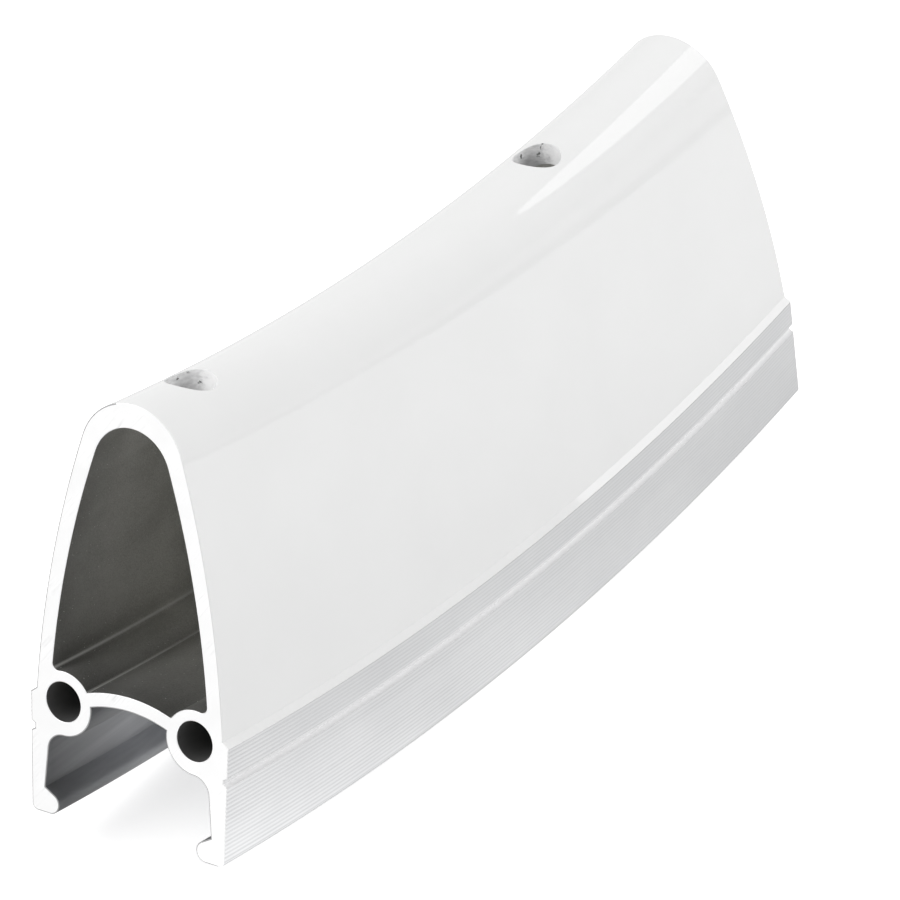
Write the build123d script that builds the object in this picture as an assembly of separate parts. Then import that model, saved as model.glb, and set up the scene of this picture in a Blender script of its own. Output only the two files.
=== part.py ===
from build123d import *
from math import acos, atan2, cos, hypot, sin
import os

# A sawn length of a deep bicycle rim, in millimetres and degrees.
# The wheel's axis runs along X, outer_radius above the origin, so the tyre side is down
# and the spoke side, a rounded nose, is up. The length of rim runs along Y.

# Wheel
outer_radius = 317.0        # wheel centre to the tyre edge of a 622 mm rim
sample_angle = 17.92        # between the two saw cuts, seen from the wheel centre
spoke_count = 32
first_hole_angle = 1.69     # from the first saw cut to the first spoke hole
hole_margin_angle = 1.0     # least angle between a spoke hole and a saw cut
spoke_hole_diameter = 4.5

# Outside of the section
rim_depth = 39.15           # tyre edge to nose
nose_radius = 5.35
flank_radius = 97.0         # the painted flank bulges out along this arc
track_half_width = 10.34    # at the top corner of the brake track
track_draft = 0.21          # the brake track leans in by this much at the tyre edge
track_height = 10.95        # tyre edge to the track's top corner
step_width = 0.62           # the brake track stands proud of the flank by this much
step_height = 0.48
tyre_corner_radius = 0.6

# Wear groove along each brake track
groove_height = 7.83        # tyre edge to the middle of the groove
groove_width = 0.95
groove_floor_width = 0.43
groove_depth = 0.42

# Hollow behind the nose
nose_wall = 2.15
nose_side_wall = 1.4
cavity_flank_radius = 88.0
flank_wall = 1.4            # at the ports
cavity_corner_radius = 0.6

# Round ports for the pins that close a full rim's joint
port_diameter = 3.66
port_height = 10.77         # tyre edge to the ports' centres
port_half_spacing = 6.87
boss_wall = 1.13            # round the ports
boss_drop = 0.17            # the bosses' centres lie below the ports', so their undersides are thicker

# Curved bridge between the ports
bridge_rise = 2.18          # ports' centres to the top of the bridge
bridge_thickness = 1.28
bridge_radius = 13.5

# Tyre channel and its two hooks
upper_tyre_wall = 2.34      # wall behind the track, at the height of the ports' centres
lower_tyre_wall = 1.4       # wall behind the track, above the hook
channel_corner_radius = 1.6
hook_radius = 0.98
hook_reach = 1.5            # the hook stands out from the channel wall by this much
hook_height = 2.4           # tyre edge to where the hook's upper side meets the wall


def arc_centre(round_centre, round_radius, end, radius):
    """Centre of an arc that leaves a circle on the section's middle smoothly and stops at end."""
    reach = radius - round_radius
    away = (end[0] - round_centre[0], end[1] - round_centre[1])
    distance = hypot(*away)
    turn = acos((distance**2 + reach**2 - radius**2) / (2 * distance * reach))
    direction = atan2(away[1], away[0]) - turn
    return (round_centre[0] + reach * cos(direction), round_centre[1] + reach * sin(direction))


def arched_face(top, round_radius, end, radius):
    """Face under a round top with two bulging sides, closed by a straight lower edge."""
    round_centre = (0.0, top - round_radius)
    centre = arc_centre(round_centre, round_radius, end, radius)
    leave = atan2(round_centre[1] - centre[1], round_centre[0] - centre[0])
    stop = atan2(end[1] - centre[1], end[0] - centre[0])
    middle = (leave + stop) / 2
    smooth = (centre[0] + radius * cos(leave), centre[1] + radius * sin(leave))
    bulge = (centre[0] + radius * cos(middle), centre[1] + radius * sin(middle))
    mirrored = [(-x, y) for x, y in (smooth, bulge, end)]
    outline = Curve() + [
        ThreePointArc(mirrored[0], (0.0, top), smooth),
        ThreePointArc(smooth, bulge, end),
        Line(end, mirrored[2]),
        ThreePointArc(mirrored[2], mirrored[1], mirrored[0]),
    ]
    return make_face(outline)


def polygon(points):
    """Face with straight sides through the points."""
    return make_face(Polyline(*points, close=True))


def both_sides(face):
    """The face and its mirror image across the section's middle."""
    return face + mirror(face, about=Plane.YZ)


# Sizes that follow from the driving ones
port_radius = port_diameter / 2
boss_radius = port_radius + boss_wall
boss_height = port_height - boss_drop
flank_half_width = track_half_width - step_width
flank_height = track_height + step_height
tyre_edge_half_width = track_half_width - track_draft
bridge_centre_height = port_height + bridge_rise - bridge_radius


def skin():
    """Outer form: nose, flanks, the step out to the brake tracks and the tracks themselves."""
    upper = arched_face(rim_depth, nose_radius, (flank_half_width, flank_height), flank_radius)
    lower = polygon([
        (-flank_half_width, flank_height),
        (flank_half_width, flank_height),
        (track_half_width, track_height),
        (tyre_edge_half_width, 0.0),
        (-tyre_edge_half_width, 0.0),
        (-track_half_width, track_height),
    ])
    by_height = lower.vertices().group_by(Axis.Y)
    return upper + fillet(by_height[0], tyre_corner_radius)


def wear_grooves():
    """A shallow groove with sloping sides along each brake track."""
    surface = track_half_width - track_draft * (track_height - groove_height) / track_height
    floor = surface - groove_depth
    opened = groove_width - groove_floor_width / 2
    groove = polygon([
        (surface + groove_depth, groove_height + opened),
        (floor, groove_height + groove_floor_width / 2),
        (floor, groove_height - groove_floor_width / 2),
        (surface + groove_depth, groove_height - opened),
    ])
    return both_sides(groove)


def bosses():
    """Two discs that carry the ports."""
    return both_sides(Pos(port_half_spacing, boss_height) * Circle(boss_radius))


def ports():
    """Two round openings, one through each boss."""
    return both_sides(Pos(port_half_spacing, port_height) * Circle(port_radius))


def bridge_disc(radius):
    """Disc whose upper side is one face of the bridge."""
    return Pos(0.0, bridge_centre_height) * Circle(radius)


def cavity():
    """Hollow between the nose, the flanks, the port bosses and the top of the bridge."""
    arch = arched_face(
        rim_depth - nose_wall,
        nose_radius - nose_side_wall,
        (flank_half_width - flank_wall, port_height),
        cavity_flank_radius,
    )
    hollow = arch - bosses() - bridge_disc(bridge_radius)
    by_width = hollow.vertices().sort_by(Axis.X)
    return fillet([by_width[0], by_width[-1]], cavity_corner_radius)


def hooks(wall, below):
    """Rounded beads along the tyre edge that keep the tyre in, each joined to the wall behind it."""
    centre = (wall - hook_reach + hook_radius, hook_radius)
    away = (wall - centre[0], hook_height - centre[1])
    turn = atan2(away[1], away[0]) + acos(hook_radius / hypot(*away))
    leave = (centre[0] + hook_radius * cos(turn), centre[1] + hook_radius * sin(turn))
    inside = wall + lower_tyre_wall / 2
    web = polygon([
        (centre[0], below),
        (inside, below),
        (inside, hook_height),
        (wall, hook_height),
        leave,
        centre,
    ])
    return both_sides(Pos(*centre) * Circle(hook_radius) + web)


def channel():
    """Open channel for the tyre, under the bridge and between the two hooks."""
    upper = track_half_width - upper_tyre_wall
    lower = tyre_edge_half_width - lower_tyre_wall
    shoulder = boss_height - boss_radius
    roof = bridge_centre_height + bridge_radius
    below = -hook_radius
    space = polygon([
        (-lower, below),
        (lower, below),
        (lower, hook_height),
        (upper, port_height),
        (port_half_spacing, roof),
        (-port_half_spacing, roof),
        (-upper, port_height),
        (-lower, hook_height),
    ])
    space = space & bridge_disc(bridge_radius - bridge_thickness)
    space = space - bosses() - hooks(lower, below)
    outer = space.vertices().filter_by(lambda v: abs(v.X) > port_half_spacing)
    nearest = outer.sort_by(lambda v: abs(v.Y - shoulder))
    return fillet(nearest[:2], channel_corner_radius)


def spoke_holes():
    """Radial drillings through the nose, one for each spoke that the length of rim holds."""
    drilled = nose_wall + nose_radius
    drill = Pos(0.0, 0.0, rim_depth - drilled) * Cylinder(
        spoke_hole_diameter / 2,
        2 * drilled,
        align=(Align.CENTER, Align.CENTER, Align.MIN),
    )
    pitch = 360.0 / spoke_count
    count = int((sample_angle - first_hole_angle - hole_margin_angle) / pitch) + 1
    first = first_hole_angle - sample_angle / 2
    return [drill.rotate(wheel_axis, first + index * pitch) for index in range(count)]


wheel_axis = Axis((0.0, 0.0, outer_radius), (1.0, 0.0, 0.0))
profile = skin() - wear_grooves() - cavity() - channel() - ports()
first_cut = (Plane(origin=(0, 0, 0), x_dir=(1, 0, 0), z_dir=(0, -1, 0)) * profile).rotate(
    wheel_axis, -sample_angle / 2
)
rim_section = revolve(first_cut, axis=wheel_axis, revolution_arc=sample_angle)
rim_section = rim_section - spoke_holes()

os.makedirs("parts", exist_ok=True)
export_step(rim_section, "parts/rim_section.step")
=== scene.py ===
from math import acos, ceil, cos, pi, radians, sin, sqrt

import bpy
from mathutils import Matrix, Vector
from mathutils.geometry import intersect_line_sphere_2d, intersect_sphere_sphere_2d


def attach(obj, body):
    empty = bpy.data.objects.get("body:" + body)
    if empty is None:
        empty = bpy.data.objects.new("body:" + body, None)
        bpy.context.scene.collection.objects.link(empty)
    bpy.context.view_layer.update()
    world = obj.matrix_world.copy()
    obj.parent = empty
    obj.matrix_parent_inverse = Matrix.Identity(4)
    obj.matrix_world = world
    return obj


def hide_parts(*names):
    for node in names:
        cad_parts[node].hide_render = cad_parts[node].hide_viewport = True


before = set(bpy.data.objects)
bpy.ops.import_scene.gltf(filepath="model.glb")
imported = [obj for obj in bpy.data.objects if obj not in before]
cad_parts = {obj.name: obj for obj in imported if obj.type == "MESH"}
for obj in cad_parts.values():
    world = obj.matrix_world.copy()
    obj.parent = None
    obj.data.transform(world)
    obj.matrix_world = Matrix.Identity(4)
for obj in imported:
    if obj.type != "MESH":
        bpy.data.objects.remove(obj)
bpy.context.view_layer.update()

# Camera: a long lens from the front right and above, looking down the length of rim,
# with the near saw cut at the left and the far one going away at the right.
camera_data = bpy.data.cameras.new("camera")
camera_data.sensor_width = 36.0
camera_data.lens = 191.64
camera_data.clip_start = 0.02
camera_data.clip_end = 20.0
camera = bpy.data.objects.new("camera", camera_data)
bpy.context.scene.collection.objects.link(camera)
bpy.context.scene.camera = camera
camera_right = Vector((0.83838, 0.54272, -0.05069))
camera_down = Vector((0.21452, -0.41401, -0.88464))
camera_forward = Vector((-0.50110, 0.73079, -0.46352))
camera.matrix_world = Matrix((camera_right, -camera_down, -camera_forward)).transposed().to_4x4()
camera.location = (0.220070, -0.318463, 0.220474)


# The rim section's outline: one aluminium extrusion, drawn on the right half of its
# section. The pen starts at the crown of the nose and goes down the painted flank, the
# turned brake track and the tyre's hook, and back up to the underside of the bridge.
wheel_radius = 0.317
mm = 0.001
arc_step = 0.42 * mm
flank_step = 0.75 * mm
cavity_step = 0.9 * mm
bead_step = 0.12 * mm
boss_step = 0.3 * mm


def start_line(point):
    """Puts one vertex down on the section's plane."""
    bpy.ops.mesh.select_all(action="DESELECT")
    bpy.ops.mesh.primitive_plane_add(size=mm, location=(point.x, 0, point.y))
    bpy.ops.mesh.merge(type="CENTER")
    return point


def line_to(pen, point):
    """Draws a straight edge from the last vertex."""
    step = point - pen
    bpy.ops.mesh.extrude_region_move(TRANSFORM_OT_translate={"value": (step.x, 0, step.y)})
    return point


def arc_to(pen, centre, point, step=arc_step):
    """Spins the last vertex about a centre, the short way round, until it is at the point."""
    turn = (pen - centre).angle_signed(point - centre)
    count = max(2, ceil(abs(turn) * (pen - centre).length / step))
    bpy.ops.mesh.spin(steps=count, angle=turn, center=(centre.x, 0, centre.y), axis=(0, -1, 0))
    return point


def lower_crossing(crossings):
    """Of two crossings, the one nearer the tyre edge."""
    return min((c for c in crossings if c is not None), key=lambda c: c.y)


def upper_crossing(crossings):
    """Of two crossings, the one further from the tyre edge."""
    return max((c for c in crossings if c is not None), key=lambda c: c.y)


rim_depth = 39.15 * mm
nose_radius = 5.35 * mm
nose_centre = Vector((0, rim_depth - nose_radius))
flank_radius = 97.0 * mm
flank_end = Vector((9.72, 11.43)) * mm
track_top = Vector((10.34, 10.95)) * mm
track_bottom = Vector((10.13, 0)) * mm
port_centre = Vector((6.87, 10.77)) * mm
port_radius = 1.83 * mm
boss_centre = Vector((6.87, 10.60)) * mm
boss_radius = 2.96 * mm
bridge_centre = Vector((0, -0.55)) * mm
bridge_top_radius = 13.5 * mm
bridge_under_radius = 12.22 * mm

flank_centre = min(
    intersect_sphere_sphere_2d(nose_centre, flank_radius - nose_radius, flank_end, flank_radius),
    key=lambda c: c.x,
)
nose_leave = flank_centre + (nose_centre - flank_centre).normalized() * flank_radius

bpy.ops.object.select_all(action="DESELECT")
bpy.ops.mesh.primitive_plane_add(size=mm)
rim = bpy.context.object
rim.name = "rim"
rim.data.name = "rim"
bpy.ops.object.mode_set(mode="EDIT")
bpy.ops.mesh.delete(type="VERT")
pen = start_line(Vector((0, rim_depth)))
pen = arc_to(pen, nose_centre, nose_leave)
pen = arc_to(pen, flank_centre, flank_end, flank_step)
pen = line_to(pen, track_top)

# The brake track is turned after painting: the tool leaves a row of shallow scallops.
# A wear groove with sloping sides runs through it.
groove_height = 7.83 * mm
groove_width = 0.95 * mm
groove_floor_width = 0.43 * mm
groove_depth = 0.42 * mm
tyre_corner_radius = 0.6 * mm
scallop_pitch = 0.37 * mm
scallop_depth = 0.026 * mm
scallop = ((0.2, 0.64), (0.5, 1.0), (0.8, 0.64), (1.0, 0.0))    # share of the pitch, of the depth
down_track = (track_bottom - track_top).normalized()
into_track = Vector((down_track.y, -down_track.x))
groove_centre = track_top + down_track * ((track_top.y - groove_height) / -down_track.y)


def scallops_to(pen, point):
    """Draws the turned surface as a row of hollows between sharp ridges."""
    start = pen.copy()
    count = round((point - start).length / scallop_pitch)
    for number in range(count):
        for share, depth in scallop:
            along = start + (point - start) * ((number + share) / count)
            pen = line_to(pen, along + into_track * scallop_depth * depth)
    return pen


groove_floor = groove_centre + into_track * groove_depth
pen = scallops_to(pen, groove_centre - down_track * groove_width / 2)
pen = line_to(pen, groove_floor - down_track * groove_floor_width / 2)
pen = line_to(pen, groove_floor + down_track * groove_floor_width / 2)
pen = line_to(pen, groove_centre + down_track * groove_width / 2)
corner_centre = Vector((track_bottom.x - tyre_corner_radius, tyre_corner_radius))
pen = scallops_to(pen, corner_centre - into_track * tyre_corner_radius)
pen = arc_to(pen, corner_centre, Vector((corner_centre.x, 0)), 0.1 * mm)

# Tyre hook and channel: a round bead along each edge, a thin wall above it, a rounded
# corner into the port's boss, and the underside of the curved bridge.
hook_radius = 0.98 * mm
hook_centre = Vector((8.21, 0.98)) * mm
hook_root = Vector((8.73, 2.4)) * mm
wall_top = Vector((8.0, 10.77)) * mm
channel_corner_radius = 1.6 * mm
pen = line_to(pen, Vector((hook_centre.x, 0)))
away = hook_root - hook_centre
hook_turn = acos(hook_radius / away.length)
hook_leave = hook_centre + (Matrix.Rotation(hook_turn, 2) @ away.normalized()) * hook_radius
hook_side = hook_centre - Vector((hook_radius, 0))
pen = arc_to(pen, hook_centre, hook_side, bead_step)
pen = arc_to(pen, hook_centre, hook_leave, bead_step)
pen = line_to(pen, hook_root)
up_wall = (wall_top - hook_root).normalized()
from_wall = Vector((-up_wall.y, up_wall.x))
to_corner = from_wall * channel_corner_radius
channel_corner = lower_crossing(
    intersect_line_sphere_2d(
        hook_root + to_corner,
        wall_top + to_corner,
        boss_centre,
        boss_radius + channel_corner_radius,
        False,
    )
)
pen = line_to(pen, channel_corner - to_corner)
boss_below = boss_centre + (channel_corner - boss_centre).normalized() * boss_radius
pen = arc_to(pen, channel_corner, boss_below, 0.25 * mm)
boss_under_bridge = min(
    intersect_sphere_sphere_2d(boss_centre, boss_radius, bridge_centre, bridge_under_radius),
    key=lambda c: c.x,
)
pen = arc_to(pen, boss_centre, boss_under_bridge, boss_step)
pen = arc_to(pen, bridge_centre, bridge_centre + Vector((0, bridge_under_radius)))

# Hollow behind the nose: an even wall round the inside of the flank, rounded where it
# meets the port's boss, then the boss and the top of the bridge.
cavity_radius = 3.95 * mm
cavity_centre = Vector((0, 33.05)) * mm
cavity_flank_radius = 88.0 * mm
cavity_flank_end = Vector((8.32, 10.77)) * mm
cavity_corner_radius = 0.6 * mm
cavity_flank_centre = min(
    intersect_sphere_sphere_2d(
        cavity_centre, cavity_flank_radius - cavity_radius, cavity_flank_end, cavity_flank_radius
    ),
    key=lambda c: c.x,
)
cavity_corner = upper_crossing(
    intersect_sphere_sphere_2d(
        cavity_flank_centre,
        cavity_flank_radius - cavity_corner_radius,
        boss_centre,
        boss_radius + cavity_corner_radius,
    )
)
pen = start_line(cavity_centre + Vector((0, cavity_radius)))
out_to_nose = (cavity_centre - cavity_flank_centre).normalized()
pen = arc_to(pen, cavity_centre, cavity_flank_centre + out_to_nose * cavity_flank_radius)
out_to_corner = (cavity_corner - cavity_flank_centre).normalized()
cavity_flank_low = cavity_flank_centre + out_to_corner * cavity_flank_radius
pen = arc_to(pen, cavity_flank_centre, cavity_flank_low, cavity_step)
boss_above = boss_centre + (cavity_corner - boss_centre).normalized() * boss_radius
pen = arc_to(pen, cavity_corner, boss_above, bead_step)
boss_on_bridge = upper_crossing(
    intersect_sphere_sphere_2d(boss_centre, boss_radius, bridge_centre, bridge_top_radius)
)
pen = arc_to(pen, boss_centre, boss_on_bridge, boss_step)
pen = arc_to(pen, bridge_centre, bridge_centre + Vector((0, bridge_top_radius)))

# Round port for a joint pin, then the mirrored half and the filled section.
port_sides = 48
weld_distance = 0.001 * mm
bpy.ops.mesh.select_all(action="DESELECT")
bpy.ops.mesh.primitive_circle_add(
    vertices=port_sides,
    radius=port_radius,
    location=(port_centre.x, 0, port_centre.y),
    rotation=(pi / 2, 0, 0),
)
bpy.ops.object.mode_set(mode="OBJECT")
mirror = rim.modifiers.new("other half", "MIRROR")
mirror.merge_threshold = weld_distance
bpy.ops.object.modifier_apply(modifier=mirror.name)
bpy.ops.object.mode_set(mode="EDIT")
bpy.ops.mesh.select_all(action="SELECT")
bpy.ops.mesh.remove_doubles(threshold=weld_distance)
bpy.ops.mesh.fill(use_beauty=True)

# Length of rim: the filled section is turned to the near saw cut and spun about the
# wheel's axle to the far one. Both cut faces stand out by the width of their broken edge,
# and a narrow ring inside that edge carries a dark line of painted shade along the outline.
sample_angle = radians(17.92)
edge_break = 0.05 * mm
shade_ring_width = 0.055 * mm
length_steps = 112
near_a_cut = 42 * mm        # no face further in than this belongs to a saw cut
section_middle_radius = wheel_radius - rim_depth / 2
end_allowance = edge_break / section_middle_radius
bpy.ops.mesh.select_all(action="SELECT")
bpy.ops.transform.rotate(
    value=sample_angle / 2 - end_allowance,
    orient_axis="X",
    center_override=(0, 0, wheel_radius),
)
bpy.ops.mesh.spin(
    steps=length_steps,
    angle=sample_angle - 2 * end_allowance,
    center=(0, 0, wheel_radius),
    axis=(-1, 0, 0),
)
bpy.ops.mesh.select_all(action="SELECT")
bpy.ops.mesh.normals_make_consistent(inside=False)
bpy.ops.mesh.select_all(action="DESELECT")
bpy.ops.object.mode_set(mode="OBJECT")


def is_sawn(face):
    """Tells whether a face looks along the length of rim, out of one of the saw cuts."""
    end = 1 if face.center.y > 0 else -1
    out = Vector((0, end * cos(sample_angle / 2), sin(sample_angle / 2)))
    return face.normal.dot(out) > 0.6 and abs(face.center.y) > near_a_cut


rim.data.polygons.foreach_set("select", [is_sawn(face) for face in rim.data.polygons])
bpy.ops.object.mode_set(mode="EDIT")
bpy.ops.mesh.select_mode(type="FACE")
bpy.ops.mesh.inset(thickness=edge_break, depth=edge_break)
bpy.ops.mesh.inset(thickness=shade_ring_width, depth=0)
bpy.ops.object.mode_set(mode="OBJECT")

# Spoke holes: drilled towards the tyre through the nose, one for each spoke, before the
# rim is painted. The drill is drawn with a rounded shoulder, which follows the curve of
# the nose and leaves each hole a soft lip.
spoke_count = 32
first_hole_angle = radians(1.69) - sample_angle / 2
spoke_hole_radius = 2.25 * mm
drill_depth = 7.0 * mm
lip_radius = 0.08 * mm
lip_turns = (0, 0.35, 0.7, 1.05, 1.35)
shoulder_rise = 1.5 * mm
drill_sides = 96
smooth_below = radians(22)
hole_angles = (first_hole_angle, first_hole_angle + 2 * pi / spoke_count)
for angle in hole_angles:
    bpy.ops.object.select_all(action="DESELECT")
    bpy.ops.mesh.primitive_circle_add(
        vertices=drill_sides,
        radius=spoke_hole_radius,
        fill_type="NGON",
        location=(0, 0, rim_depth - drill_depth),
    )
    drill = bpy.context.object
    bpy.ops.object.transform_apply(location=True)
    bpy.ops.object.mode_set(mode="EDIT")
    bpy.ops.mesh.select_all(action="SELECT")
    rings = [
        (spoke_hole_radius + lip_radius * (1 - cos(turn)), lip_radius * (1 - sin(turn)))
        for turn in lip_turns
    ]
    rings.append((rings[-1][0], -shoulder_rise))
    radius = spoke_hole_radius
    height = rim_depth - drill_depth
    for ring_radius, ring_depth in rings:
        step = rim_depth - ring_depth - height
        bpy.ops.mesh.extrude_region_move(TRANSFORM_OT_translate={"value": (0, 0, step)})
        bpy.ops.transform.resize(value=(ring_radius / radius, ring_radius / radius, 1))
        radius = ring_radius
        height = rim_depth - ring_depth
    bpy.ops.object.mode_set(mode="OBJECT")
    for vertex in drill.data.vertices:
        if vertex.co.z > rim_depth - 1.0 * mm:
            vertex.co.z -= nose_radius - sqrt(nose_radius**2 - vertex.co.x**2)
    bpy.ops.object.mode_set(mode="EDIT")
    bpy.ops.mesh.select_all(action="SELECT")
    bpy.ops.mesh.normals_make_consistent(inside=False)
    bpy.ops.transform.rotate(value=-angle, orient_axis="X", center_override=(0, 0, wheel_radius))
    bpy.ops.object.mode_set(mode="OBJECT")
    bpy.ops.object.select_all(action="DESELECT")
    bpy.context.view_layer.objects.active = rim
    rim.select_set(True)
    drilling = rim.modifiers.new("drilling", "BOOLEAN")
    drilling.operation = "DIFFERENCE"
    drilling.solver = "EXACT"
    drilling.object = drill
    bpy.ops.object.modifier_apply(modifier=drilling.name)
    bpy.data.objects.remove(drill)

bpy.ops.object.shade_smooth_by_angle(angle=smooth_below)


# Paint: white, baked on over the nose, the flanks and the step down to the brake tracks.
# It is glossy, with the faint orange peel and cloudiness of a sprayed coat.
def new_finish(name):
    """Starts a material for the rim and gives it the next slot."""
    finish = bpy.data.materials.new(name)
    finish.use_nodes = True
    rim.data.materials.append(finish)
    return finish


def add_node(finish, kind, inputs, **settings):
    """Adds a node to a material. Each input is a value, or the output that is linked to it."""
    node = finish.node_tree.nodes.new("ShaderNode" + kind)
    for name, value in settings.items():
        setattr(node, name, value)
    for name, value in inputs.items():
        if isinstance(value, bpy.types.NodeSocket):
            finish.node_tree.links.new(value, node.inputs[name])
        else:
            node.inputs[name].default_value = value
    return node


def place_on(finish):
    """The place of a point on the rim, in metres."""
    return add_node(finish, "TexCoord", {}).outputs["Object"]


def clouds(finish, place, size, detail=2.0):
    """Soft patches of about the given size, from 0 to 1."""
    inputs = {"Vector": place, "Scale": 1 / size, "Detail": detail}
    return add_node(finish, "TexNoise", inputs).outputs["Fac"]


def spread(finish, value, low, high, to_low, to_high):
    """Takes the range from low to high and spreads it from to_low to to_high."""
    inputs = {"Value": value, "From Min": low, "From Max": high, "To Min": to_low, "To Max": to_high}
    return add_node(finish, "MapRange", inputs).outputs["Result"]


def math_of(finish, operation, first, second=0.0):
    """One sum, product or comparison of two values."""
    return add_node(finish, "Math", {0: first, 1: second}, operation=operation).outputs[0]


def either(finish, share, first, second):
    """Goes from the first number to the second as the share goes from 0 to 1."""
    return add_node(finish, "Mix", {0: share, 2: first, 3: second}, data_type="FLOAT").outputs[0]


def between(finish, share, first, second):
    """Goes from the first colour to the second as the share goes from 0 to 1."""
    inputs = {0: share}
    for socket, colour in ((6, first), (7, second)):
        inputs[socket] = colour if isinstance(colour, bpy.types.NodeSocket) else (*colour, 1)
    return add_node(finish, "Mix", inputs, data_type="RGBA").outputs[2]


def darker(finish, colour, share):
    """Scales a colour by a share."""
    return add_node(finish, "VectorMath", {0: colour, 1: share}, operation="MULTIPLY").outputs[0]


def axis_of(finish, place, axis):
    """One of the three coordinates of a point."""
    return add_node(finish, "SeparateXYZ", {"Vector": place}).outputs[axis]


def specks(finish, place, spacing, size, share):
    """Small dots about size across, in the given share of cells spacing wide, from 0 to 1."""
    cells = add_node(finish, "TexVoronoi", {"Vector": place, "Scale": 1 / spacing})
    chance = add_node(finish, "SeparateColor", {"Color": cells.outputs["Color"]}).outputs["Red"]
    near = math_of(finish, "LESS_THAN", cells.outputs["Distance"], size / spacing / 2)
    return math_of(finish, "MULTIPLY", near, math_of(finish, "LESS_THAN", chance, share))


def raise_by(finish, height, distance):
    """Turns a height from 0 to 1 into the shader's bump, distance high."""
    inputs = {"Height": height, "Distance": distance, "Strength": 1.0}
    return add_node(finish, "Bump", inputs).outputs["Normal"]


def set_shader(finish, **inputs):
    """Sets or links the shader's own sockets."""
    shader = finish.node_tree.nodes["Principled BSDF"]
    for name, value in inputs.items():
        socket = shader.inputs[name.replace("_", " ").title().replace("Ior", "IOR")]
        if isinstance(value, bpy.types.NodeSocket):
            finish.node_tree.links.new(value, socket)
        else:
            socket.default_value = value


paint_light = (0.86, 0.862, 0.86)
paint_dull = (0.845, 0.847, 0.845)
paint = new_finish("white_paint")
place = place_on(paint)
cloudiness = clouds(paint, place, 9 * mm, 3.0)
set_shader(
    paint,
    base_color=between(paint, spread(paint, cloudiness, 0.3, 0.7, 0, 1), paint_dull, paint_light),
    roughness=spread(paint, clouds(paint, place, 2.5 * mm), 0.3, 0.7, 0.02, 0.04),
    normal=raise_by(paint, clouds(paint, place, 1.1 * mm), 0.0018 * mm),
)


# Brake tracks: aluminium turned bare on a lathe after painting. The tool leaves fine lines round
# the wheel's axle; the dark line just outside each ridge is painted shade, standing for the darker
# reflection there, and it fades from the near cut to the far one. A thin darker line runs along the
# top of the track, and painted shade runs along the tyre edge.
def rim_radius(finish, place):
    """Distance of a point from the wheel's axle."""
    inputs = {"Vector": place, "Location": (0, 0, -wheel_radius), "Scale": (0, 1, 1)}
    from_axle = add_node(finish, "Mapping", inputs).outputs[0]
    return add_node(finish, "VectorMath", {0: from_axle}, operation="LENGTH").outputs["Value"]


def turned_lines(finish, radius, first_ridge, pitch, width):
    """Soft lines of a width at every pitch outwards from the first ridge, from 0 to 1."""
    beyond = math_of(finish, "SUBTRACT", radius, first_ridge)
    off_line = math_of(finish, "PINGPONG", beyond, pitch / 2)
    return spread(finish, off_line, width * 0.2, width, 1, 0)


track_light = (0.84, 0.845, 0.85)
track_dull = (0.75, 0.755, 0.765)
# Colour of the painted shade lines and of the pits.
line_shade_and_pit_colour = (0.45, 0.455, 0.46)
groove_light = (0.86, 0.86, 0.865)
groove_lip_shade_colour = (0.66, 0.66, 0.665)
line_offset = 0.06 * mm
line_width = 0.15 * mm
lines_above = 7
lines_below = 18
upper_pitch = (track_top.y - groove_height - groove_width / 2) / lines_above
lower_pitch = (groove_height - groove_width / 2 - tyre_corner_radius) / lines_below
top_line_height = 10.88 * mm
tyre_edge_shade_height = 0.28 * mm
track = new_finish("turned_track")
place = place_on(track)
turn_radius = rim_radius(track, place)
groove_radius = wheel_radius - groove_height
above_start = wheel_radius - track_top.y + line_offset
above_groove = turned_lines(track, turn_radius, above_start, upper_pitch, line_width)
below_start = groove_radius + groove_width / 2 + line_offset
below_groove = turned_lines(track, turn_radius, below_start, lower_pitch, line_width)
is_below = math_of(track, "GREATER_THAN", turn_radius, below_start - line_offset)
is_above = math_of(track, "LESS_THAN", turn_radius, groove_radius - groove_width / 2)
in_groove = math_of(track, "SUBTRACT", math_of(track, "SUBTRACT", 1.0, is_below), is_above)
# Painted shade: a dark line just outside each ridge of the turned surface.
lines = math_of(
    track,
    "ADD",
    math_of(track, "MULTIPLY", above_groove, is_above),
    math_of(track, "MULTIPLY", below_groove, is_below),
)
across = add_node(track, "SeparateXYZ", {"Vector": place}).outputs
stretched = add_node(track, "CombineXYZ", {
    "X": turn_radius,
    "Y": math_of(track, "MULTIPLY", across["Y"], 0.02),
    "Z": across["X"],
}).outputs[0]
tool_lines = clouds(track, stretched, 0.09 * mm, 3.0)
# Painted shade: the dark lines fade from the near cut to the far one, as their reflection does.
painted_line_fade = spread(track, across["Y"], -48 * mm, 15 * mm, 0.50, 0.16)
uneven = spread(track, clouds(track, stretched, 0.8 * mm), 0.3, 0.7, 0.75, 1.2)
line_strength = math_of(track, "MULTIPLY", painted_line_fade, uneven)
dull_patches = clouds(track, place, 8 * mm, 3.0)
worn = math_of(track, "ADD", spread(track, tool_lines, 0.3, 0.7, -0.12, 0.12), dull_patches)
# A thin darker line along the top of the track.
from_top_line = math_of(track, "SUBTRACT", turn_radius, wheel_radius - top_line_height)
on_top_line = math_of(track, "LESS_THAN", math_of(track, "ABSOLUTE", from_top_line), 0.06 * mm)
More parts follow.
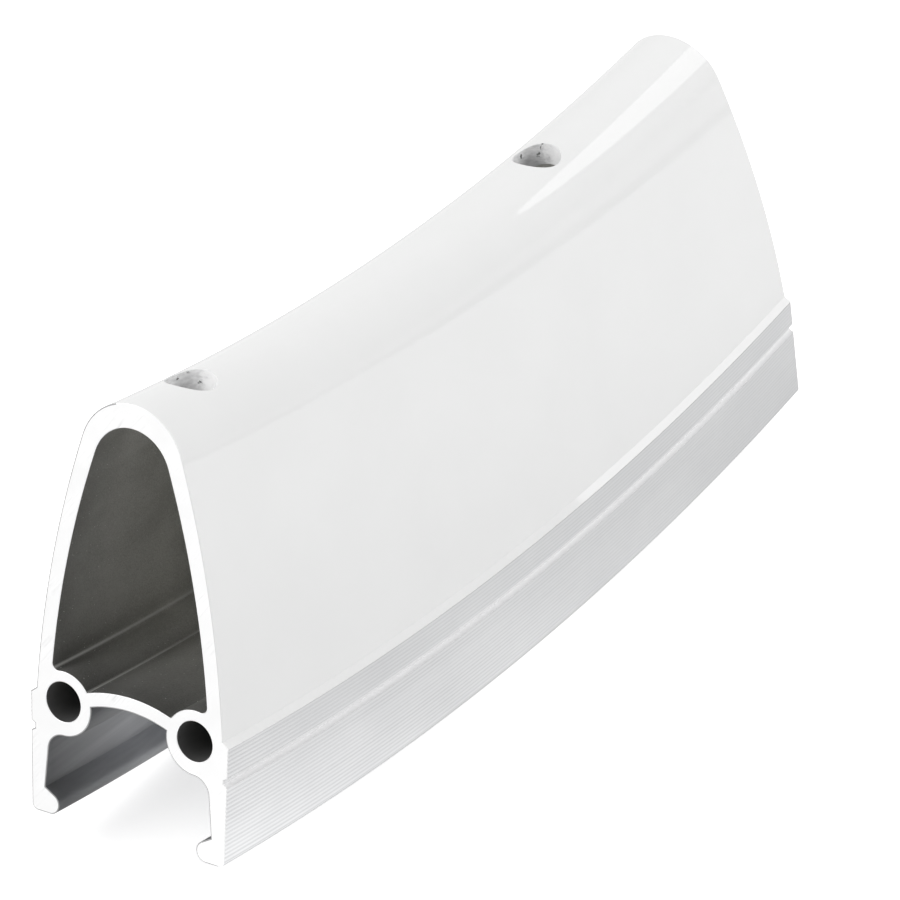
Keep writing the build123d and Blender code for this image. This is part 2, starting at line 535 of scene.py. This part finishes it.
# Painted shade: a dark line along the tyre edge, standing for the shadow where it faces the floor.
tyre_edge_shade = math_of(track, "GREATER_THAN", turn_radius, wheel_radius - tyre_edge_shade_height)
pits = specks(track, place, 2.6 * mm, 0.16 * mm, 0.06)
darkening = math_of(
    track,
    "MAXIMUM",
    math_of(track, "MULTIPLY", lines, line_strength),
    math_of(
        track,
        "MAXIMUM",
        math_of(track, "MULTIPLY", math_of(track, "MAXIMUM", on_top_line, tyre_edge_shade), 0.6),
        math_of(track, "MULTIPLY", pits, 0.8),
    ),
)
bare = between(track, spread(track, worn, 0.1, 0.9, 0, 1), track_dull, track_light)
lined = between(track, darkening, bare, line_shade_and_pit_colour)
# In the groove: a lighter colour without metal, with painted shade towards the lower lip.
lip_start = groove_radius + 0.22 * mm
groove_lip_shade = spread(track, turn_radius, lip_start, groove_radius + groove_width / 2, 0, 1)
groove_colour = between(track, groove_lip_shade, groove_light, groove_lip_shade_colour)
set_shader(
    track,
    base_color=between(track, in_groove, lined, groove_colour),
    metallic=spread(track, in_groove, 0, 1, 1.0, 0.0),
    roughness=spread(track, worn, 0.1, 0.9, 0.42, 0.34),
    normal=raise_by(track, tool_lines, 0.0015 * mm),
)

# Saw cuts: raw aluminium, bright, with the blade's fine marks slanting across the section
# and duller torn patches.
sawn_light = (0.95, 0.95, 0.95)
sawn_dull = (0.80, 0.80, 0.80)
saw_mark_angle = radians(51)
sawn = new_finish("sawn_face")
place = place_on(sawn)
turned = add_node(sawn, "Mapping", {"Vector": place, "Rotation": (0, saw_mark_angle, 0)}).outputs[0]
stretched = add_node(sawn, "Mapping", {"Vector": turned, "Scale": (0.05, 0.05, 1)}).outputs[0]
saw_marks = clouds(sawn, stretched, 0.16 * mm, 3.0)
torn = clouds(sawn, place, 2.6 * mm, 3.0)
dulled = math_of(
    sawn,
    "MULTIPLY",
    spread(sawn, saw_marks, 0.5, 0.75, 0, 1),
    spread(sawn, torn, 0.5, 0.68, 0, 1),
)
set_shader(
    sawn,
    base_color=between(sawn, dulled, sawn_light, sawn_dull),
    metallic=0.85,
    roughness=spread(sawn, torn, 0.3, 0.7, 0.35, 0.5),
    normal=raise_by(sawn, saw_marks, 0.003 * mm),
)

# Edge shade: a fine darker edge on the cut faces, down the left side and round the channel,
# painted shade that draws the outline of each cut.
edge_shade_dark = (0.22, 0.22, 0.22)
edge_shade_light = (0.60, 0.60, 0.60)
edge_shade_limit = -1.6 * mm
edge_shade = new_finish("painted_edge_shade")
place = place_on(edge_shade)
set_shader(
    edge_shade,
    base_color=between(edge_shade, clouds(edge_shade, place, 1.2 * mm, 4.0), edge_shade_dark, edge_shade_light),
    metallic=0.3,
    roughness=0.6,
)

# Inside of the hollow: bare and dull from the press and the paint oven, dusted with fine
# swarf. A painted highlight runs along each corner of the bosses, painted shade darkens the
# hollow near the cuts and on the bridge, and painted light brightens it under the spoke holes.
hollow_dark = (0.52, 0.515, 0.485)
hollow_light = (0.74, 0.735, 0.70)
mouth_shade = 0.36
bridge_shade = 0.65
hole_light_colour = (0.75, 0.75, 0.74)
swarf_colour = (0.9, 0.9, 0.88)
corner_highlight_width = 0.2 * mm
hollow = new_finish("bare_hollow")
place = place_on(hollow)
along = add_node(hollow, "Mapping", {"Vector": place, "Scale": (1, 0.02, 0.3)}).outputs[0]
draw_marks = clouds(hollow, along, 1.2 * mm)
grain = clouds(hollow, place, 0.13 * mm)
stain = clouds(hollow, place, 6 * mm, 3.0)
tone = math_of(
    hollow,
    "ADD",
    spread(hollow, draw_marks, 0.3, 0.7, -0.1, 0.1),
    math_of(hollow, "ADD", spread(hollow, grain, 0.3, 0.7, -0.3, 0.3), stain),
)
sideways = math_of(hollow, "ABSOLUTE", axis_of(hollow, place, "X"))
height = math_of(hollow, "SUBTRACT", wheel_radius, rim_radius(hollow, place))
on_section = add_node(hollow, "CombineXYZ", {"X": sideways, "Z": height}).outputs[0]
corner_on_wall = cavity_corner + Vector((0.71, -0.71)) * cavity_corner_radius
# Painted highlights: a pale line along the corner of each boss, where light would catch it.
corner_highlights = 0.0
for corner in (corner_on_wall, boss_on_bridge):
    inputs = {0: on_section, 1: (corner.x, 0, corner.y)}
    distance = add_node(hollow, "VectorMath", inputs, operation="DISTANCE").outputs["Value"]
    line = spread(hollow, distance, 0, corner_highlight_width, 0.7, 0)
    corner_highlights = math_of(hollow, "MAXIMUM", corner_highlights, line)
swarf = specks(hollow, place, 0.45 * mm, 0.08 * mm, 0.5)
swarf_and_highlights = math_of(hollow, "MAXIMUM", swarf, corner_highlights)
bare = between(hollow, spread(hollow, tone, 0.2, 0.8, 0, 1), hollow_dark, hollow_light)
along_rim = math_of(hollow, "ABSOLUTE", axis_of(hollow, place, "Y"))
# Painted shade: darker near each cut, where more light comes in, and a little lighter deep inside.
painted_mouth_shade = spread(hollow, along_rim, 32 * mm, 46 * mm, 1.1, mouth_shade)
# Painted shade: darker on the top of the bridge, which faces the light from the cuts.
painted_bridge_shade = spread(hollow, height, 12.5 * mm, 15.5 * mm, bridge_shade, 1)
bare = darker(hollow, bare, math_of(hollow, "MULTIPLY", painted_mouth_shade, painted_bridge_shade))
dusted = between(hollow, swarf_and_highlights, bare, swarf_colour)
# Painted light: lighter patches on the inside below each spoke hole, where light falls in through it.
near_nose = spread(hollow, height, 20 * mm, 28 * mm, 0, 0.8)
for angle in hole_angles:
    inputs = {"Vector": place, "Center": (0, 0, wheel_radius), "Angle": -angle}
    under_hole = add_node(hollow, "VectorRotate", inputs, rotation_type="X_AXIS").outputs[0]
    across = add_node(hollow, "Mapping", {"Vector": under_hole, "Scale": (1, 1, 0)}).outputs[0]
    off_axis = add_node(hollow, "VectorMath", {0: across}, operation="LENGTH").outputs["Value"]
    hole_light = spread(hollow, off_axis, 1.5 * mm, 4.5 * mm, 1, 0)
    dusted = between(hollow, math_of(hollow, "MULTIPLY", hole_light, near_nose), dusted, hole_light_colour)
set_shader(
    hollow,
    base_color=dusted,
    metallic=0.3,
    roughness=0.5,
    normal=raise_by(hollow, clouds(hollow, place, 0.35 * mm, 3.0), 0.006 * mm),
)

# Tyre channel: bare aluminium too, as extruded, but cooler in colour and smoother, with a
# few dark marks. Painted shade darkens it near the cuts, and it is painted lighter further in.
channel_dark = (0.44, 0.446, 0.46)
channel_light = (0.54, 0.546, 0.56)
dark_mark = (0.12, 0.12, 0.13)
channel = new_finish("bare_channel")
place = place_on(channel)
along = add_node(channel, "Mapping", {"Vector": place, "Scale": (1, 0.03, 1)}).outputs[0]
draw_marks = clouds(channel, along, 0.8 * mm, 3.0)
marks = specks(channel, place, 3.2 * mm, 0.3 * mm, 0.12)
bare = between(channel, spread(channel, draw_marks, 0.3, 0.7, 0, 1), channel_dark, channel_light)
along_rim = math_of(channel, "ABSOLUTE", axis_of(channel, place, "Y"))
# Painted shade: darker near each cut, lighter further in.
painted_mouth_shade = spread(channel, along_rim, 37 * mm, 48 * mm, 1.35, 0.47)
set_shader(
    channel,
    base_color=between(channel, marks, darker(channel, bare, painted_mouth_shade), dark_mark),
    metallic=0.7,
    roughness=0.5,
    normal=raise_by(channel, draw_marks, 0.005 * mm),
)

# Ports: extruded round, coloured dark as painted shade for the deep bore, with the odd bright chip.
port_shade_dark = (0.16, 0.159, 0.157)
bright_chip = (0.7, 0.7, 0.7)
port = new_finish("port_wall")
place = place_on(port)
chips = specks(port, place, 1.4 * mm, 0.14 * mm, 0.15)
set_shader(
    port,
    base_color=between(port, chips, port_shade_dark, bright_chip),
    metallic=0.5,
    roughness=0.6,
    normal=raise_by(port, clouds(port, place, 0.3 * mm, 3.0), 0.01 * mm),
)

# Walls of the spoke holes: scored round by the drill, with painted shade deep down, and white
# paint blown in over one side, drawn lighter than the outer paint as painted light, and a few dark
# chips where it broke away.
drilled_dark = (0.70, 0.70, 0.705)
drilled_light = (0.95, 0.95, 0.955)
chip_colour = (0.10, 0.10, 0.10)
# Painted light: the blown paint is lighter than the outer paint, to offset the shade in the hole.
blown_paint_lightened = (0.97, 0.97, 0.97)
drilled = new_finish("drilled_wall")
place = place_on(drilled)
sideways = axis_of(drilled, place, "X")
depth = math_of(drilled, "SUBTRACT", rim_radius(drilled, place), wheel_radius - rim_depth)
ragged = spread(drilled, clouds(drilled, place, 0.7 * mm, 4.0), 0.2, 0.8, -1.1 * mm, 1.1 * mm)
covered = spread(drilled, math_of(drilled, "ADD", sideways, ragged), -0.65 * mm, 0.15 * mm, 0, 1)
scored = add_node(drilled, "Mapping", {"Vector": place, "Scale": (0.4, 0.4, 1)}).outputs[0]
tears = clouds(drilled, scored, 0.22 * mm, 4.0)
chips = spread(drilled, clouds(drilled, place, 0.6 * mm), 0.66, 0.72, 0, 1)
bare = between(drilled, spread(drilled, tears, 0.3, 0.7, 0, 1), drilled_dark, drilled_light)
# Painted shade: darker deeper in the hole.
painted_depth_shade = spread(drilled, depth, 0.4 * mm, 2.0 * mm, 1, 0.80)
chipped = between(drilled, chips, darker(drilled, bare, painted_depth_shade), chip_colour)
set_shader(
    drilled,
    base_color=between(drilled, covered, chipped, blown_paint_lightened),
    metallic=spread(drilled, covered, 0, 1, 0.1, 0),
    roughness=spread(drilled, covered, 0, 1, 0.5, 0.2),
    normal=raise_by(drilled, tears, 0.02 * mm),
)

# Each face takes its finish from its place on the section.
finish_order = [finish.name for finish in rim.data.materials]
near_surface = 0.25 * mm
nose_thickness = 3.4 * mm
bridge_middle_radius = (bridge_top_radius + bridge_under_radius) / 2


def is_drilled(centre, height):
    """Tells whether a point lies on the wall or the lip of a spoke hole."""
    for angle in hole_angles:
        axis = Vector((0, -sin(angle), cos(angle)))
        offset = centre - Vector((0, 0, wheel_radius))
        from_axis = (offset - axis * offset.dot(axis)).length
        if from_axis < spoke_hole_radius + lip_radius * 0.3 and height > rim_depth - nose_thickness:
            return True
    return False


def finish_at(centre):
    """Names the finish at a point of the rim's surface."""
    height = wheel_radius - Vector((0, centre.y, centre.z - wheel_radius)).length
    spot = Vector((abs(centre.x), height))
    if is_drilled(centre, height):
        return "drilled_wall"
    if (spot - port_centre).length < port_radius + near_surface:
        return "port_wall"
    if height < flank_end.y:
        if spot.x > flank_end.x - near_surface:
            return "white_paint" if height > track_top.y else "turned_track"
    elif (spot - flank_centre).length > flank_radius - near_surface:
        return "white_paint"
    elif height > nose_centre.y and (spot - nose_centre).length > nose_radius - near_surface:
        return "white_paint"
    if height < tyre_corner_radius and spot.x > corner_centre.x:
        return "turned_track"
    return "bare_hollow" if (spot - bridge_centre).length > bridge_middle_radius else "bare_channel"


for face in rim.data.polygons:
    name = finish_at(face.center)
    # The ring at each cut's left edge and round the channel takes the painted edge shade.
    if is_sawn(face):
        outside = face.center.x < edge_shade_limit and name in ("white_paint", "turned_track")
        at_edge = len(face.vertices) == 4 and (outside or name == "bare_channel")
        name = "painted_edge_shade" if at_edge else "sawn_face"
    face.material_index = finish_order.index(name)

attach(rim, "root")
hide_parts("rim_section")

# Floor and backdrop: a sheet of white paper under soft studio light. The camera sees it
# lit up to white, with the shadow on it. Reflections see it as the studio lights it: less
# near the rim and at the left, and with a dark edge where the paper ends behind the rim.
floor_size = 6.0
paper_white = (0.80, 0.80, 0.80)
black = (0, 0, 0)
camera_glow = 0.62
glow_under_rim = 0.45
paper_end = 0.47
far_wall = 0.60
gap_glow = 0.35
wall_glow = 0.75
bpy.ops.mesh.primitive_plane_add(size=floor_size, location=(0, 0, 0))
floor = bpy.context.object
floor.name = "floor"
paper = bpy.data.materials.new("white_paper")
paper.use_nodes = True
floor.data.materials.append(paper)
place = place_on(paper)
on_floor = add_node(paper, "SeparateXYZ", {"Vector": place}).outputs
rim_half_length = 50 * mm
beside_track = math_of(
    paper,
    "ADD",
    spread(paper, on_floor["Y"], -0.045, -0.013, 1.30, 0.94),
    spread(paper, on_floor["Y"], 0.0, 0.04, 0, -0.15),
)
beyond_track = spread(paper, on_floor["Y"], -0.02, 0.10, 0.70, 1.02)
from_rim = spread(paper, on_floor["X"], 0.022, 0.034, 0, 1)
right_side = either(paper, from_rim, beside_track, beyond_track)
left_side = math_of(
    paper,
    "ADD",
    spread(paper, on_floor["X"], -0.05, -0.11, 0.55, 0.92),
    spread(paper, on_floor["X"], -0.11, -0.25, 0, 0.12),
)
behind = math_of(paper, "GREATER_THAN", on_floor["Y"], -0.04)
left_side = spread(paper, behind, 0, 1, 1.0, left_side)
is_right = math_of(paper, "GREATER_THAN", on_floor["X"], 0)
lit = either(paper, is_right, left_side, right_side)
under_rim = math_of(
    paper,
    "MULTIPLY",
    math_of(paper, "LESS_THAN", math_of(paper, "ABSOLUTE", on_floor["X"]), track_bottom.x),
    math_of(paper, "LESS_THAN", math_of(paper, "ABSOLUTE", on_floor["Y"]), rim_half_length),
)
lit = either(paper, under_rim, lit, glow_under_rim)
inputs = {0: place, 1: (0.66, 0.75, 0)}
away = add_node(paper, "VectorMath", inputs, operation="DOT_PRODUCT").outputs["Value"]
lit = either(paper, math_of(paper, "GREATER_THAN", away, paper_end), lit, gap_glow)
lit = either(paper, math_of(paper, "GREATER_THAN", away, far_wall), lit, wall_glow)
rays = add_node(paper, "LightPath", {}).outputs
glow = math_of(
    paper,
    "ADD",
    math_of(paper, "MULTIPLY", rays["Is Camera Ray"], camera_glow),
    math_of(paper, "MULTIPLY", rays["Is Glossy Ray"], lit),
)
set_shader(
    paper,
    base_color=between(paper, rays["Is Glossy Ray"], paper_white, black),
    roughness=0.9,
    specular_ior_level=0.0,
    emission_color=(1, 1, 1, 1),
    emission_strength=glow,
)

# Studio: white all round, a little brighter at the left. In reflections the horizon is
# darker towards the right, where no wall is lit.
world = bpy.data.worlds.new("studio")
bpy.context.scene.world = world
world.use_nodes = True
rays = add_node(world, "LightPath", {}).outputs
direction = add_node(world, "TexCoord", {}).outputs["Generated"]
sideways = axis_of(world, direction, "X")
horizon = spread(world, sideways, -0.1, 0.5, 1.0, 0.55)
height = spread(world, axis_of(world, direction, "Z"), 0.0, 0.5, 0, 1)
walls = either(world, height, horizon, 0.95)
soft_light = spread(world, sideways, -1, 1, 0.73, 0.38)
for_light = either(world, rays["Is Glossy Ray"], soft_light, walls)
strength = either(world, rays["Is Camera Ray"], for_light, 1.0)
background = world.node_tree.nodes["Background"]
background.inputs["Color"].default_value = (1, 1, 1, 1)
world.node_tree.links.new(strength, background.inputs["Strength"])


def softbox(name, place, width, height, power, roll=0.0, shape="RECTANGLE"):
    """Hangs a soft light of some watts that looks at the middle of the rim section."""
    data = bpy.data.lights.new(name, "AREA")
    data.shape = shape
    data.size = width
    data.size_y = height
    data.energy = power
    light = bpy.data.objects.new(name, data)
    to_middle = Vector((0, 0, 0.02)) - Vector(place)
    facing = to_middle.to_track_quat("-Z", "Y").to_matrix()
    light.matrix_world = Matrix.Translation(place) @ (facing @ Matrix.Rotation(roll, 3, "Z")).to_4x4()
    bpy.context.scene.collection.objects.link(light)


softbox("back_box", (0.504, 0.537, 0.696), 0.822, 0.44, 1.58, radians(37.6), "ELLIPSE")
softbox("front_box", (-0.45, -0.68, 0.54), 0.6, 0.5, 3.9)
softbox("side_box", (0.45, 0.28, 0.32), 0.16, 0.16, 1.2)

bpy.context.scene.view_settings.view_transform = "Standard"
